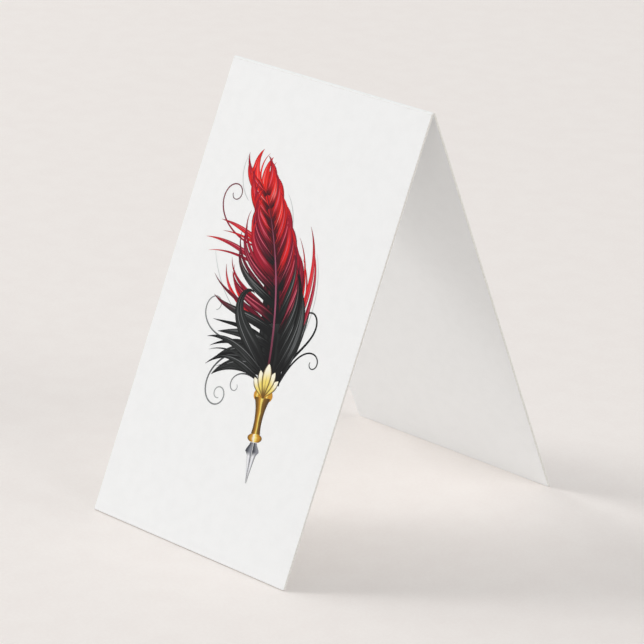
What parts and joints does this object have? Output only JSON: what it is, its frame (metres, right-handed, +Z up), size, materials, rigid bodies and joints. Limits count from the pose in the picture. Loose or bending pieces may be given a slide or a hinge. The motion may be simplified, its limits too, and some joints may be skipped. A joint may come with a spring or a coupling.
{
  "type": "folded tent card",
  "caption": "White folded card that stands like a tent on its two short edges, with a quill pen printed on the front leaf; it hinges at the fold to lie shut or flat.",
  "frame": {"origin": "on the table, midway between the two edges that the card stands on, in the middle of the fold's length", "axes": "+X along the fold, to the viewer's right when facing the printed leaf; -Y towards the side the printed leaf faces; +Z up"},
  "size_m": [0.0508, 0.0716, 0.0817],
  "materials": {
    "card": "uncoated heavy card stock, matte",
    "ink_red": "printed ink on card, slightly satin",
    "ink_crimson": "printed ink on card, slightly satin",
    "ink_black": "printed ink on card, slightly satin",
    "ink_shaft": "printed ink on card, slightly satin",
    "ink_curl": "printed ink on card, slightly satin",
    "ink_gold": "printed ink on card, slightly satin",
    "ink_bronze": "printed ink on card, slightly satin",
    "ink_steel": "printed ink on card, slightly satin"
  },
  "bodies": {
    "front": {"front_leaf": "card", "fold_crease": "card", "print_bead": "ink_gold", "print_collar_leaf_middle": "ink_gold", "print_collar_leaf_left": "ink_gold", "print_collar_leaf_right": "ink_gold", "print_collar_leaf_outer_left": "ink_gold", "print_collar_leaf_outer_right": "ink_gold", "print_shaft": "ink_shaft", "print_holder": "ink_bronze", "print_cheek_left": "ink_gold", "print_cheek_right": "ink_gold", "print_nib_left": "ink_steel", "print_nib_right": "ink_steel", "print_lock_hook": "ink_black", "print_lock_left_4": "ink_black", "print_lock_left_5": "ink_black", "print_vane_left_black": "ink_black", "print_vane_right_black": "ink_black", "print_vane_left_crimson": "ink_crimson", "print_vane_right_crimson": "ink_crimson", "print_vane_left_red": "ink_red", "print_vane_right_red": "ink_red", "print_plume_long": "ink_red", "print_plume_short": "ink_red", "print_lock_left_1": "ink_red", "print_lock_left_2": "ink_crimson", "print_lock_left_3": "ink_red", "print_lock_right_1": "ink_red", "print_lock_right_2": "ink_crimson", "print_lock_right_3": "ink_black", "print_curl_top_left": "ink_crimson", "print_curl_left": "ink_curl", "print_curl_bottom_left": "ink_curl", "print_curl_small": "ink_curl", "print_curl_right": "ink_curl", "print_curl_bottom_right": "ink_curl"},
    "back": {"back_leaf": "card"}
  },
  "joints": [
    {"name": "fold", "type": "hinge", "parent": "front", "child": "back", "pos_m": [0, 0, 0.08114], "axis": [1, 0, 0], "range_deg": [-47, 133], "deforming": ["fold_crease"]}
  ]
}
